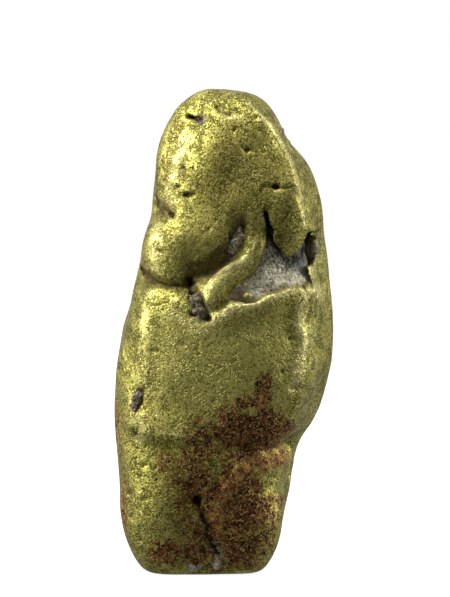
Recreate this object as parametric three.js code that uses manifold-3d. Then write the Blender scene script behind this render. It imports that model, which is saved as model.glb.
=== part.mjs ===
// Native gold nugget with quartz left in its hollows, standing on a small flat spot.
// Millimetres, +Z up. The front faces -Y, and the origin is under the middle of the nugget.
import * as THREE from 'three';
import { mergeVertices } from 'three/addons/utils/BufferGeometryUtils.js';
import Module from 'manifold-3d';

const wasm = await Module();
wasm.setup();

// Driving dimensions

// Sections of the nugget: height, then its left, right, front and back reach.
const SECTIONS = [
  [-0.95, -1.30, -1.30, -0.10, -0.10],
  [-0.20, -4.10, 2.05, -2.35, 2.05],
  [0.70, -5.05, 2.76, -3.05, 2.70],
  [1.85, -5.60, 3.10, -3.50, 3.15],
  [3.25, -5.90, 3.38, -3.85, 3.50],
  [4.65, -6.02, 3.68, -4.05, 3.75],
  [6.00, -6.18, 3.88, -4.20, 3.95],
  [7.40, -6.25, 4.30, -4.35, 4.15],
  [8.80, -6.22, 5.14, -4.50, 4.30],
  [10.20, -6.20, 5.80, -4.60, 4.40],
  [11.60, -6.18, 6.20, -4.65, 4.45],
  [13.00, -6.05, 6.32, -4.65, 4.45],
  [14.40, -5.86, 6.40, -4.60, 4.35],
  [15.75, -5.50, 6.33, -4.45, 4.20],
  [17.10, -5.12, 6.10, -4.30, 4.05],
  [19.20, -4.60, 5.80, -4.15, 3.85],
  [20.60, -4.28, 5.72, -4.00, 3.75],
  [22.00, -4.14, 5.44, -3.80, 3.60],
  [23.40, -4.00, 4.90, -3.55, 3.35],
  [24.80, -3.71, 3.92, -3.25, 2.95],
  [26.15, -3.13, 3.25, -2.75, 2.35],
  [26.85, -2.74, 2.82, -2.35, 1.90],
  [27.55, -1.93, 1.98, -1.65, 1.15],
  [28.02, -0.55, -0.55, -0.25, -0.25],
];
const SECTION_POWER = 2.4; // 2 is an ellipse, more is squarer
const FLANK_SLANT_TOP = 0.16; // slope of the flat right flank near the top
const FLANK_SLANT_FOOT = 0.42; // and towards the foot
const FLANK_ROUNDING = 0.35;
const FOOT_ROUNDING = 0.35;
const FOOT_CUT = 0.12; // taken off below, which leaves the flat spot
const SWELL = 0.10; // height of the long soft waves of the skin

// The hollow that holds the main quartz, and its filling, as seen from the front: x, z.
const HOLLOW = [
  [2.45, 20.80], [2.80, 20.00], [2.95, 19.30], [3.30, 18.60], [3.72, 18.20], [4.05, 18.50],
  [4.45, 19.10], [4.90, 19.70], [5.40, 19.75], [5.64, 19.30], [5.64, 18.65], [5.40, 18.15],
  [4.78, 17.70], [4.85, 16.85], [3.30, 16.65], [2.60, 16.35], [1.75, 16.00], [0.90, 15.85],
  [0.42, 16.05], [0.50, 16.40], [1.28, 16.60], [1.45, 17.35], [1.85, 17.85], [2.17, 19.05],
  [2.25, 19.90],
];
const FILLING = [
  [2.45, 18.95], [2.75, 18.95], [3.05, 18.50], [3.70, 17.98], [4.20, 18.40], [4.60, 18.98],
  [5.00, 19.50], [5.38, 19.50], [5.46, 19.20], [5.46, 18.75], [5.25, 18.33], [4.60, 17.85],
  [4.65, 17.02], [3.25, 16.83], [2.55, 16.54], [1.70, 16.20], [0.95, 16.05], [0.66, 16.14],
  [1.42, 16.42], [1.62, 17.25], [2.03, 17.78],
];
const HOLLOW_DEPTH = 1.9;
const HOLLOW_INNERMOST = -1.3; // the hollow stops at this y
const HOLLOW_SHALLOWEST = 0.4; // except where the skin is already close to it
const UNDERCUT = 0.5; // how far the hollow climbs for each millimetre that it goes in
const GAP = 0.15; // room between the quartz and the gold

const COLUMNS = 74; // round the nugget
const ROWS = 44; // from top to foot
const FRONT_TIGHTENING = 0.35; // columns stand closer at the front
const WAIST_TIGHTENING = 0.30; // rows stand closer at the finger and the hollow
const WAIST_ROW = 0.40; // share of the way from top to foot

// Materials

const gold = new THREE.MeshStandardMaterial({ color: 0xa89a4c, roughness: 0.38, metalness: 1 });
const quartz = new THREE.MeshStandardMaterial({ color: 0x8f8f7f, roughness: 0.75, metalness: 0 });

// Soft minimum and maximum of two distances, blended over the width.
function softMin(a, b, width) {
  const share = Math.max(width - Math.abs(a - b), 0) / width;
  return Math.min(a, b) - (share * share * width) / 4;
}

function softMax(a, b, width) {
  return -softMin(-a, -b, width);
}

function clamp(value, low, high) {
  return Math.min(Math.max(value, low), high);
}

// A bump that is 1 in the middle and falls smoothly to 0 at a distance of 1.
function dome(distance) {
  const t = clamp(distance, -1, 1);
  return (1 - t * t) ** 2;
}

function smoothShare(value) {
  const t = clamp(value, 0, 1);
  return t * t * (3 - 2 * t);
}

// The plain body

const LOW = SECTIONS[0][0];
const HIGH = SECTIONS.at(-1)[0];

// Heights are spaced by an angle, so that both ends of the body close in round domes.
function heightAngle(z) {
  return Math.acos(clamp(1 - (2 * (z - LOW)) / (HIGH - LOW), -1, 1));
}

const KNOTS = SECTIONS.map((section) => heightAngle(section[0]));

// Slope of one column of the sections at a knot, from the parabola through its neighbours.
function knotSlope(column, i) {
  const value = (k) => SECTIONS[k][column];
  const last = SECTIONS.length - 1;
  if (i === 0) return (value(1) - value(0)) / (KNOTS[1] - KNOTS[0]);
  if (i === last) return (value(last) - value(last - 1)) / (KNOTS[last] - KNOTS[last - 1]);
  const before = KNOTS[i] - KNOTS[i - 1];
  const after = KNOTS[i + 1] - KNOTS[i];
  const rise = before * before * value(i + 1) - after * after * value(i - 1);
  return (rise + (after * after - before * before) * value(i)) / (before * after * (before + after));
}

const SLOPES = SECTIONS.map((section, i) => [1, 2, 3, 4].map((column) => knotSlope(column, i)));

// Left, right, front and back reach at a height.
function reaches(z) {
  const angle = heightAngle(z);
  let i = 0;
  while (i < KNOTS.length - 2 && KNOTS[i + 1] <= angle) i += 1;
  const gap = KNOTS[i + 1] - KNOTS[i];
  const t = (angle - KNOTS[i]) / gap;
  const startShare = (1 + 2 * t) * (1 - t) ** 2;
  const startPull = t * (1 - t) ** 2 * gap;
  const endShare = t * t * (3 - 2 * t);
  const endPull = t * t * (t - 1) * gap;
  return [1, 2, 3, 4].map((column) => startShare * SECTIONS[i][column] + startPull * SLOPES[i][column - 1]
    + endShare * SECTIONS[i + 1][column] + endPull * SLOPES[i + 1][column - 1]);
}

// Rough distance to the plain body: zero on its skin and negative inside.
function plainBody(x, y, z) {
  const [left, right, front, back] = reaches(z);
  const halfWidth = Math.max((right - left) / 2, 0.05);
  const halfDepth = Math.max((back - front) / 2, 0.05);
  const dx = x - (left + right) / 2;
  const dy = y - (front + back) / 2;
  const sum = Math.abs(dx / halfWidth) ** SECTION_POWER + Math.abs(dy / halfDepth) ** SECTION_POWER;
  const ratio = sum ** (1 / SECTION_POWER);
  const scale = ratio > 0.3 ? Math.hypot(dx, dy) / ratio : halfDepth;
  const body = Math.max((ratio - 1) * scale, LOW - z, z - HIGH);
  const slant = FLANK_SLANT_TOP + (FLANK_SLANT_FOOT - FLANK_SLANT_TOP) * clamp((25 - z) / 12, 0, 1);
  const flank = (x - right - 0.02 - slant * (y - 0.3)) / Math.hypot(1, slant);
  return softMax(body, flank, FLANK_ROUNDING);
}

// The same, evened out by its own slope so that it counts in millimetres.
function evenBody(x, y, z) {
  const step = 0.05;
  const d = plainBody(x, y, z);
  const slope = Math.hypot(
    plainBody(x + step, y, z) - plainBody(x - step, y, z),
    plainBody(x, y + step, z) - plainBody(x, y - step, z),
    plainBody(x, y, z + step) - plainBody(x, y, z - step),
  ) / (2 * step);
  return d / Math.max(slope, 0.5);
}

const WAVES = [
  [0.71, 0.40, 0.32, 0.4], [-0.52, 0.63, 0.59, 2.1], [0.36, -0.83, 0.76, 4.4],
  [1.32, 0.46, -0.67, 1.2], [-0.83, 1.27, 0.95, 3.3], [1.09, -1.01, 1.39, 5.2],
];

function swell(x, y, z) {
  return WAVES.reduce((sum, [a, b, c, phase]) => sum + Math.sin(a * x + b * y + c * z + phase), 0) / 3;
}

// Where the plain skin lies along one line: from a point inside, outwards along an axis.
function skinAlong(inside, axis, sign) {
  const probe = [...inside];
  let low = 0;
  let high = 8;
  for (let i = 0; i < 40; i += 1) {
    const middle = (low + high) / 2;
    probe[axis] = sign * middle;
    if (plainBody(...probe) < 0) low = middle;
    else high = middle;
  }
  probe[axis] = sign * low;
  return probe;
}

// Points on the skin, lifted off it: the front and back take x, z, and the flanks y, z.
function front([x, z, lift = 0]) {
  const [, y] = skinAlong([x, 0, z], 1, -1);
  return new THREE.Vector3(x, y - lift, z);
}

function back([x, z, lift = 0]) {
  const [, y] = skinAlong([x, 0, z], 1, 1);
  return new THREE.Vector3(x, y + lift, z);
}

function leftFlank([y, z, lift = 0]) {
  const [x] = skinAlong([0, y, z], 0, -1);
  return new THREE.Vector3(x - lift, y, z);
}

function rightFlank([y, z, lift = 0]) {
  const [x] = skinAlong([0, y, z], 0, 1);
  return new THREE.Vector3(x + lift, y, z);
}

// Features of the skin. Each changes the distance near itself only.
const features = [];

function addFeature(points, margin, change) {
  const area = new THREE.Box3().setFromPoints(points).expandByScalar(margin);
  features.push({ area, change });
}

// The nearest place on a chain of points: its distance, its share of the way along, and its stretch.
function nearestOnChain(point, points) {
  const best = { distance: Infinity };
  for (let i = 0; i < points.length - 1; i += 1) {
    const line = new THREE.Line3(points[i], points[i + 1]);
    const share = line.closestPointToPointParameter(point, true);
    const place = line.at(share, new THREE.Vector3());
    const distance = place.distanceTo(point);
    if (distance < best.distance) Object.assign(best, { distance, share, place, stretch: i });
  }
  return best;
}

// A fold: the skin along the points rises by the height, or sinks where that is negative.
// It fades over one width towards the top and another towards the foot, and at both of its ends.
function fold(points, height, above, below) {
  const lengths = points.slice(1).map((point, i) => point.distanceTo(points[i]));
  const starts = lengths.map((length, i) => lengths.slice(0, i).reduce((a, b) => a + b, 0));
  const total = lengths.reduce((a, b) => a + b, 0);
  addFeature(points, Math.max(above, below), (point, d) => {
    const near = nearestOnChain(point, points);
    const run = points[near.stretch + 1].clone().sub(points[near.stretch]);
    const steep = Math.abs(run.z) > Math.hypot(run.x, run.y);
    const sideways = (run.z > 0 ? -1 : 1) * (point.x - near.place.x);
    const over = steep ? sideways : point.z - near.place.z;
    const width = below + (above - below) * smoothShare(0.5 + over / 0.5);
    const along = starts[near.stretch] + near.share * lengths[near.stretch];
    const fade = smoothShare(Math.min(along, total - along) / (0.22 * total));
    return d - height * dome(near.distance / width) * (0.15 + 0.85 * fade);
  });
}

// Distance to an ellipsoid that leans to the right by an angle in degrees.
function ellipsoidDistance(point, centre, radii, lean) {
  const turn = THREE.MathUtils.degToRad(-lean);
  const local = point.clone().sub(centre).applyAxisAngle(new THREE.Vector3(0, 1, 0), turn);
  const size = new THREE.Vector3(...radii);
  const ratio = local.divide(size).length();
  const slope = local.divide(size).length();
  return slope > 1e-6 ? (ratio * (ratio - 1)) / slope : -Math.min(...radii);
}

function lobe(centre, radii, blend, lean) {
  addFeature([centre], Math.max(...radii) + blend, (point, d) => {
    const bulge = ellipsoidDistance(point, centre, radii, lean);
    return softMin(d, bulge, blend);
  });
}

// Lobes of the front.
lobe(front([-3.1, 18.95, -1.5]), [1.5, 1.75, 2.5], 0.9, 10);
lobe(front([-1.5, 24.0, -1.9]), [1.95, 2.0, 3.0], 0.9, 14);
lobe(front([3.3, 20.9, -1.6]), [1.5, 1.75, 2.4], 0.7, 8);
lobe(front([1.5, 3.1, -1.95]), [1.88, 2.2, 3.2], 0.7, 4);
lobe(front([-3.2, 3.9, -2.2]), [2.4, 2.35, 4.2], 0.8, -2);

// Lobes of the back.
lobe(back([-2.9, 13.8, -1.8]), [2.2, 2.0, 2.9], 0.8, -8);
lobe(back([2.3, 15.3, -1.7]), [2.3, 1.9, 2.2], 0.8, 12);
lobe(back([0.4, 23.2, -1.7]), [2.4, 1.9, 3.0], 0.9, -6);
lobe(back([1.2, 5.4, -1.9]), [1.9, 2.1, 3.1], 0.8, 6);

// The waist under the left lobe, and the break above that lobe.
const waist = [[-4.75, 17.7], [-4.45, 17.3], [-3.94, 16.95], [-3.03, 16.75], [-2.3, 16.75], [-1.4, 17.1]];
fold(waist.map(front), -0.42, 0.8, 0.9);
fold([[-4.1, 21.3], [-3.75, 21.1], [-3.1, 20.95], [-2.3, 20.9]].map(front), -0.2, 0.7, 0.9);

// The ledge over the lower left, and the ridge beside the right flank.
const ledge = [[-5.9, 9.2], [-5.2, 8.75], [-4.4, 8.4], [-3.3, 8.25], [-2.2, 8.2], [-1.2, 8.3]];
fold(ledge.map(front), 0.26, 1.8, 0.8);
fold([[4.2, 17.4], [4.6, 16.5], [4.42, 15.3], [4.6, 14.0], [4.5, 11.6]].map(front), 0.14, 0.9, 0.9);

// The lip below the hollow.
const lip = [
  [-1.2, 14.5], [-0.4, 15.0], [0.45, 15.5], [1.3, 15.65], [2.2, 15.95], [3.1, 16.3], [4.0, 16.55],
  [4.9, 16.6], [5.5, 16.3],
];
fold(lip.map(front), 0.34, 0.5, 1.5);

// The trough and the fold under it, lower right.
fold([[-0.2, 7.5], [1.0, 7.25], [2.2, 7.3], [3.4, 7.4], [4.2, 7.6]].map(front), -0.42, 1.3, 0.7);
const lowerFold = [[-0.3, 3.9], [0.25, 5.3], [1.0, 6.25], [2.1, 6.6], [3.4, 6.6], [4.2, 6.3]];
fold(lowerFold.map(front), 0.30, 0.6, 1.8);

// The seam between the two lobes of the foot.
const seam = [
  [-2.3, 5.9], [-1.6, 4.5], [-1.25, 3.47], [-0.94, 2.47], [-0.64, 1.62], [-0.4, 0.5], [-0.3, -0.4],
];
fold(seam.map(front), -0.55, 0.9, 0.9);

// The groove behind the finger.
const groove = [
  [-2.2, 17.1], [-1.5, 17.5], [-0.6, 17.8], [-0.06, 18.25], [0.45, 18.75], [0.85, 19.3], [1.0, 20.2],
  [1.05, 20.9],
];
fold(groove.map(front), -0.66, 1.1, 0.75);

// The waist goes on round the back, with a fold and a seam below it.
const backWaist = [
  ...[[0.6, 17.7], [1.8, 18.1]].map(leftFlank),
  ...[[-3.4, 18.2], [-1.6, 18.6], [0.4, 18.1], [2.2, 18.6], [3.6, 19.4]].map(back),
];
fold(backWaist, -0.5, 1.1, 1.3);
fold([[4.6, 13.2], [2.6, 11.4], [0.8, 10.9], [-1.0, 11.3], [-2.4, 12.4]].map(back), 0.3, 0.8, 1.7);
fold([[-4.2, 7.4], [-2.4, 5.6], [-1.2, 4.4], [-0.8, 2.8], [-1.1, 0.4]].map(back), -0.5, 0.9, 0.9);
fold([[0.9, 14.6], [1.8, 13.9], [2.8, 13.9]].map(rightFlank), -0.3, 0.7, 0.7);

// Distance to the finished skin, before anything is cut out of it.
function skinDistance(point) {
  let d = evenBody(point.x, point.y, point.z) + SWELL * swell(point.x, point.y, point.z);
  for (const { area, change } of features) {
    if (area.containsPoint(point)) d = change(point, d);
  }
  return softMax(d, -point.z - FOOT_CUT, FOOT_ROUNDING);
}

// The outermost place where a ray from inside the body leaves it.
function castOut(start, direction) {
  const at = (reach) => skinDistance(start.clone().addScaledVector(direction, reach));
  let outer = 12;
  let inner = outer;
  let d = at(inner);
  while (d > 0 && inner > 0.5) {
    outer = inner;
    inner -= Math.max(0.6 * Math.min(d, 2), 0.04);
    d = at(inner);
  }
  for (let i = 0; i < 18; i += 1) {
    const middle = (inner + outer) / 2;
    if (at(middle) < 0) inner = middle;
    else outer = middle;
  }
  return start.clone().addScaledVector(direction, (inner + outer) / 2);
}

// Solids for cutting and joining

function toSolid(geometry) {
  const plain = geometry.clone();
  plain.deleteAttribute('normal');
  plain.deleteAttribute('uv');
  const merged = mergeVertices(plain);
  const mesh = new wasm.Mesh({
    numProp: 3,
    vertProperties: new Float32Array(merged.attributes.position.array),
    triVerts: new Uint32Array(merged.index.array),
  });
  return new wasm.Manifold(mesh);
}

function toGeometry(solid) {
  const mesh = solid.getMesh();
  const geometry = new THREE.BufferGeometry();
  geometry.setAttribute('position', new THREE.BufferAttribute(new Float32Array(mesh.vertProperties), 3));
  geometry.setIndex(new THREE.BufferAttribute(new Uint32Array(mesh.triVerts), 1));
  geometry.computeVertexNormals();
  return geometry;
}

// Moves every vertex of a geometry to where the function sends it.
function reshape(geometry, move) {
  const position = geometry.attributes.position;
  for (let i = 0; i < position.count; i += 1) {
    const moved = move(new THREE.Vector3().fromBufferAttribute(position, i), i);
    position.setXYZ(i, moved.x, moved.y, moved.z);
  }
  return geometry;
}

// The nugget's skin: the vertices of a sphere are sent out from a spine to the finished skin.
function nuggetSkin() {
  const spineTop = new THREE.Vector3(0.0, -0.2, 24.2);
  const spineFoot = new THREE.Vector3(-0.9, 0.0, 3.4);
  const capRows = 0.19; // share of the rows that fan out over each end
  const geometry = new THREE.SphereGeometry(1, COLUMNS, ROWS);
  return reshape(geometry, (vertex, i) => {
    const row = Math.floor(i / (COLUMNS + 1)) / ROWS;
    const column = (i % (COLUMNS + 1)) / COLUMNS;
    const turn = column * 2 * Math.PI;
    const azimuth = turn - FRONT_TIGHTENING * Math.sin(turn) - Math.PI / 2;
    const lag = (WAIST_TIGHTENING * Math.sin(2 * Math.PI * (row - WAIST_ROW))) / (2 * Math.PI);
    const lagAtEnds = (WAIST_TIGHTENING * Math.sin(-2 * Math.PI * WAIST_ROW)) / (2 * Math.PI);
    const way = row - lag + lagAtEnds;
    const down = clamp((way - capRows) / (1 - 2 * capRows), 0, 1);
    const start = spineTop.clone().lerp(spineFoot, down);
    const tilt = (Math.PI / 2) * (Math.min(way / capRows, 1) + Math.max((way - 1 + capRows) / capRows, 0));
    const around = new THREE.Vector2(Math.cos(azimuth), Math.sin(azimuth)).multiplyScalar(Math.sin(tilt));
    return castOut(start, new THREE.Vector3(around.x, around.y, Math.cos(tilt)));
  });
}

// A prism through the front skin along an outline: it climbs as it goes in, and stops above the floor.
function hollowPrism(outline, floorGap) {
  const shape = new THREE.Shape(outline.map(([x, z]) => new THREE.Vector2(x, z)));
  const geometry = new THREE.ExtrudeGeometry(shape, { depth: 2, steps: 2, bevelEnabled: false });
  return reshape(geometry, (vertex) => {
    const surface = front([vertex.x, vertex.y]).y;
    const depth = clamp(HOLLOW_INNERMOST - surface, HOLLOW_SHALLOWEST, HOLLOW_DEPTH);
    const floor = surface + depth - floorGap;
    const y = [floor, surface, surface - 1.5][Math.round(vertex.z)];
    return new THREE.Vector3(vertex.x, y, vertex.y + UNDERCUT * Math.max(y - surface, 0));
  });
}

// The rough front of the main quartz: near the skin at the lip, and deeper higher up.
function quartzBlock() {
  const geometry = new THREE.BoxGeometry(6, 2, 4.5, 20, 1, 15);
  return reshape(geometry, (vertex) => {
    const x = vertex.x + 3.1;
    const z = vertex.z + 17.7;
    const surface = front([Math.min(x, 5.6), z]).y;
    const recess = 0.25 + 0.65 * smoothShare((z - 16.8) / 1.8);
    const lumps = 0.16 * Math.sin(2.9 * x + 1.3 * z) * Math.sin(2.3 * z - 0.8 * x);
    const rough = lumps + 0.07 * Math.sin(6.1 * x - 4.7 * z);
    const y = vertex.y < 0 ? surface + recess + rough : surface + 4;
    return new THREE.Vector3(x, y, z);
  });
}

// A rough grain or a smooth socket: an ellipsoid set into the skin, leaning to the right.
function lump(centre, radii, lean, roughness, detail) {
  const turn = THREE.MathUtils.degToRad(lean);
  return reshape(new THREE.IcosahedronGeometry(1, detail), (vertex) => {
    const across = Math.sin(5.1 * vertex.x + 2.3 * vertex.z);
    const along = Math.sin(4.3 * vertex.y - 3.7 * vertex.z + 1.1);
    const size = 1 - roughness * (1 + (across + along) / 2);
    const scaled = vertex.multiply(new THREE.Vector3(...radii)).multiplyScalar(size);
    return scaled.applyAxisAngle(new THREE.Vector3(0, 1, 0), turn).add(centre);
  });
}

// A round bar of varying radius along a smooth curve through the points.
function bar(points, radii, sides, rings) {
  const curve = new THREE.CatmullRomCurve3(points);
  const frames = curve.computeFrenetFrames(rings, false);
  const geometry = new THREE.CylinderGeometry(1, 1, 1, sides, rings);
  return reshape(geometry, (vertex) => {
    const ring = Math.round((vertex.y + 0.5) * rings);
    const place = (ring / rings) * (radii.length - 1);
    const before = Math.min(Math.floor(place), radii.length - 2);
    const radius = THREE.MathUtils.lerp(radii[before], radii[before + 1], place - before);
    const across = frames.normals[ring].clone().multiplyScalar(vertex.x * radius);
    const over = frames.binormals[ring].clone().multiplyScalar(-vertex.z * radius);
    return curve.getPoint(ring / rings).add(across).add(over);
  });
}

// The finger folded over towards the hollow, and the crest along its upper side.
const FINGER = [
  [-0.72, 15.75, -0.45], [-0.66, 16.1, -0.22], [-0.5, 16.6, -0.18], [0.05, 17.15, -0.20],
  [0.65, 17.55, -0.24], [1.25, 18.0, -0.28], [1.75, 18.6, -0.26], [2.0, 19.35, -0.24], [2.05, 20.1, -0.30],
];
const FINGER_RADII = [0.20, 0.55, 0.62, 0.62, 0.60, 0.52, 0.43, 0.34, 0.22];
const CREST = [
  [-1.08, 16.5, -0.10], [-0.62, 17.12, 0.0], [-0.05, 17.62, 0.03], [0.5, 17.98, 0.03], [1.02, 18.22, 0.0],
  [1.6, 18.7, -0.06], [1.95, 19.3, -0.12],
];
const CREST_RADII = [0.20, 0.26, 0.26, 0.25, 0.24, 0.22, 0.15];

// Small quartz grains: name, centre on the skin, radii and lean.
const GRAINS = [
  ['quartz_pit', front([-1.45, 15.65, -0.28]), [0.34, 0.34, 0.55], -18],
  ['quartz_groove', front([0.80, 19.15, -0.62]), [0.36, 0.34, 0.30], 35],
  ['quartz_side', front([-4.95, 10.15, -0.24]), [0.22, 0.30, 0.66], 17],
  ['quartz_seam', front([-0.34, 0.85, -0.30]), [0.30, 0.30, 0.34], 0],
  ['quartz_foot', front([-1.65, 0.62, -0.22]), [0.52, 0.26, 0.24], 0],
];

// Bare pits: centre, radii and lean.
const PITS = [
  [front([-1.62, 26.35, 0.05]), [0.50, 0.50, 0.20], 4],
  [front([-1.58, 4.5, 0.0]), [0.25, 0.80, 0.25], 0],
  [front([2.95, 22.47, 0.05]), [0.16, 0.40, 0.18], 0],
  [front([1.2, 7.25, -0.25]), [0.60, 0.30, 0.30], 0],
  [back([1.1, 18.2, -0.1]), [0.75, 0.70, 0.42], -14],
  [back([-2.9, 9.4, 0.0]), [0.40, 0.50, 0.75], 20],
  [back([2.6, 21.6, 0.05]), [0.22, 0.30, 0.16], 0],
  [back([-1.0, 24.6, 0.05]), [0.20, 0.30, 0.24], 0],
  [back([3.0, 8.2, 0.05]), [0.30, 0.30, 0.20], 0],
  [rightFlank([1.9, 12.2, 0.05]), [0.30, 0.24, 0.50], 0],
  [leftFlank([2.0, 5.6, 0.05]), [0.30, 0.30, 0.40], 0],
];

function makeNugget() {
  const belowFoot = new THREE.BoxGeometry(20, 20, 2).translate(0, 0, -1);
  let body = toSolid(nuggetSkin()).subtract(toSolid(belowFoot));
  body = body.add(toSolid(bar(FINGER.map(front), FINGER_RADII, 12, 14)));
  body = body.add(toSolid(bar(CREST.map(front), CREST_RADII, 8, 10)));
  body = body.subtract(toSolid(hollowPrism(HOLLOW, 0)));
  for (const [centre, radii, lean] of PITS) {
    body = body.subtract(toSolid(lump(centre, radii, lean, 0, 1)));
  }
  for (const [, centre, radii, lean] of GRAINS) {
    const roomy = radii.map((radius) => radius + GAP);
    body = body.subtract(toSolid(lump(centre, roomy, lean, 0, 1)));
  }
  return body;
}

function makeCreviceQuartz() {
  return toSolid(quartzBlock()).intersect(toSolid(hollowPrism(FILLING, GAP)));
}

function addPiece(group, name, solid, material) {
  const mesh = new THREE.Mesh(toGeometry(solid), material.clone());
  mesh.name = name;
  group.add(mesh);
}

const specimen = new THREE.Group();
addPiece(specimen, 'gold_nugget', makeNugget(), gold);
addPiece(specimen, 'quartz_crevice', makeCreviceQuartz(), quartz);
for (const [name, centre, radii, lean] of GRAINS) {
  addPiece(specimen, name, toSolid(lump(centre, radii, lean, 0.08, 1)), quartz);
}

export default specimen;
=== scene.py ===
# Looks of a native gold nugget with quartz left in its hollows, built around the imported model.
import math
from functools import partialmethod

import bpy
import numpy as np
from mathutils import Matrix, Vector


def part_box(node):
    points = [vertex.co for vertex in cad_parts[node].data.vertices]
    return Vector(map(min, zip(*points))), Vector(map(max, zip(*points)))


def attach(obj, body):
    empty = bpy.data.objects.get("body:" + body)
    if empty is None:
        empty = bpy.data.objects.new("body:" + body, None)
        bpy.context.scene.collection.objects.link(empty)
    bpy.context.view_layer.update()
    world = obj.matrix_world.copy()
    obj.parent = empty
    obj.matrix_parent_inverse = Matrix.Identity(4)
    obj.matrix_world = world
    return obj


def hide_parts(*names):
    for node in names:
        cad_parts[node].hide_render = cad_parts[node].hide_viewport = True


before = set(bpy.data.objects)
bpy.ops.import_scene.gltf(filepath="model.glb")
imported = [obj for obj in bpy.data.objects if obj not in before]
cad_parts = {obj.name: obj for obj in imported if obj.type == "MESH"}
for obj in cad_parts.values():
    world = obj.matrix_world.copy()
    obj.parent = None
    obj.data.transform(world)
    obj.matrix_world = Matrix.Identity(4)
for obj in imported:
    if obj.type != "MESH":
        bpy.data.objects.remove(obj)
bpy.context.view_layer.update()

import openvdb
from mathutils import Vector

scene = bpy.context.scene

# The form is worked out in the drawing's millimetres, and MM is one of them in the frame.
DRAWN_HEIGHT = 28.0
nugget_low, nugget_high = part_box("gold_nugget")
MM = (nugget_high.z - nugget_low.z) / DRAWN_HEIGHT

VOXEL = 0.12
QUARTZ_VOXEL = 0.07
GRAIN_VOXEL = 0.04

# Sections of the nugget: height, then its left, right, front and back reach.
SECTIONS = [
    (-0.95, -1.3, -1.3, -0.1, -0.1), (-0.2, -4.1, 2.05, -2.35, 2.05), (0.7, -5.05, 2.76, -3.05, 2.7),
    (1.85, -5.6, 3.18, -3.5, 3.15), (3.25, -5.88, 3.52, -3.85, 3.5), (4.65, -6.02, 3.8, -4.05, 3.75),
    (6, -6.2, 3.92, -4.2, 3.95), (7.4, -6.28, 4.38, -4.35, 4.15), (8.8, -6.22, 5.28, -4.5, 4.3),
    (10.2, -6.2, 5.92, -4.6, 4.4), (11.6, -6.18, 6.24, -4.65, 4.45), (13, -6.05, 6.32, -4.65, 4.45),
    (14.4, -5.86, 6.4, -4.6, 4.35), (15.75, -5.5, 6.33, -4.45, 4.2), (17.1, -5.12, 6.1, -4.3, 4.05),
    (19.2, -4.58, 5.86, -4.15, 3.85), (20.6, -4.2, 5.8, -4, 3.75), (22, -4.04, 5.5, -3.8, 3.6),
    (23.4, -3.9, 4.9, -3.55, 3.35), (24.8, -3.62, 3.88, -3.25, 2.95), (26.15, -3.13, 3.25, -2.75, 2.35),
    (26.85, -2.74, 2.82, -2.35, 1.9), (27.55, -1.93, 1.98, -1.65, 1.15),
    (28.02, -0.55, -0.55, -0.25, -0.25),
]
SECTION_POWER = 2.4  # 2 is an ellipse, more is squarer
FLANK_SLANT_TOP = 0.16  # slope of the flat right flank near the top
FLANK_SLANT_FOOT = 0.42  # and towards the foot
FLANK_ROUNDING = 0.3
FOOT_ROUNDING = 0.35
SWELL = 0.1  # height of the long soft waves of the skin
WAVES = [
    (0.71, 0.4, 0.32, 0.4), (-0.52, 0.63, 0.59, 2.1), (0.36, -0.83, 0.76, 4.4), (1.32, 0.46, -0.67, 1.2),
    (-0.83, 1.27, 0.95, 3.3), (1.09, -1.01, 1.39, 5.2),
]

# The hollow that holds the main quartz, as seen from the front: x, z.
HOLLOW = [
    (2.38, 20.95), (2.5, 20.3), (2.42, 19.6), (2.22, 19.1), (1.83, 17.85), (1.42, 17.35), (1.05, 16.95),
    (0.66, 16.66), (0.4, 16.42), (0.42, 16.05), (0.9, 15.87), (1.75, 16.02), (2.6, 16.37), (3.3, 16.64),
    (4.85, 16.82), (4.78, 17.75), (5.35, 18.3), (5.58, 18.65), (5.6, 19.15), (5.42, 19.62), (4.9, 19.6),
    (4.4, 19.05), (4.05, 18.5), (3.72, 18.2), (3.4, 18.5), (3.04, 18.95), (2.84, 19.45), (2.72, 20.05),
    (2.46, 20.88),
]
HOLLOW_DEPTH = 1.9
HOLLOW_INNERMOST = -1.3  # the hollow stops at this y
UNDERCUT = 0.5  # how far the hollow climbs for each millimetre that it goes in


# Plain shapes, as distances: negative inside

def smooth_share(value):
    t = np.clip(value, 0, 1)
    return t * t * (3 - 2 * t)


def dome(distance):
    """1 in the middle, falling smoothly to 0 at a distance of 1."""
    t = np.clip(distance, -1, 1)
    return (1 - t * t) ** 2


def soft_min(a, b, width):
    share = np.maximum(width - np.abs(a - b), 0) / width
    return np.minimum(a, b) - share * share * width / 4


def soft_max(a, b, width):
    return -soft_min(-a, -b, width)


def oval(place, centre, radii, lean):
    """Share of the way to the skin of an ellipsoid that leans right by some degrees, and its slope."""
    x, y, z = (place[k] - centre[k] for k in range(3))
    cos, sin = math.cos(math.radians(lean)), math.sin(math.radians(lean))
    u, w = x * cos - z * sin, x * sin + z * cos
    ratio = np.sqrt((u / radii[0]) ** 2 + (y / radii[1]) ** 2 + (w / radii[2]) ** 2)
    return ratio, np.sqrt((u / radii[0] ** 2) ** 2 + (y / radii[1] ** 2) ** 2 + (w / radii[2] ** 2) ** 2)


def ellipsoid(place, centre, radii, lean=0.0):
    ratio, slope = oval(place, centre, radii, lean)
    return ratio * (ratio - 1) / np.maximum(slope, 1e-6)


def stretches(place, points):
    """For each stretch of a chain: distance, share of the way along it, nearest point and run."""
    x, y, z = place
    for a, b in zip(points, points[1:]):
        run = [b[k] - a[k] for k in range(3)]
        length2 = sum(r * r for r in run)
        share = np.clip(((x - a[0]) * run[0] + (y - a[1]) * run[1] + (z - a[2]) * run[2]) / length2, 0, 1)
        near = [a[k] + share * run[k] for k in range(3)]
        gap = np.sqrt((x - near[0]) ** 2 + (y - near[1]) ** 2 + (z - near[2]) ** 2)
        yield gap, share, near, run


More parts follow.
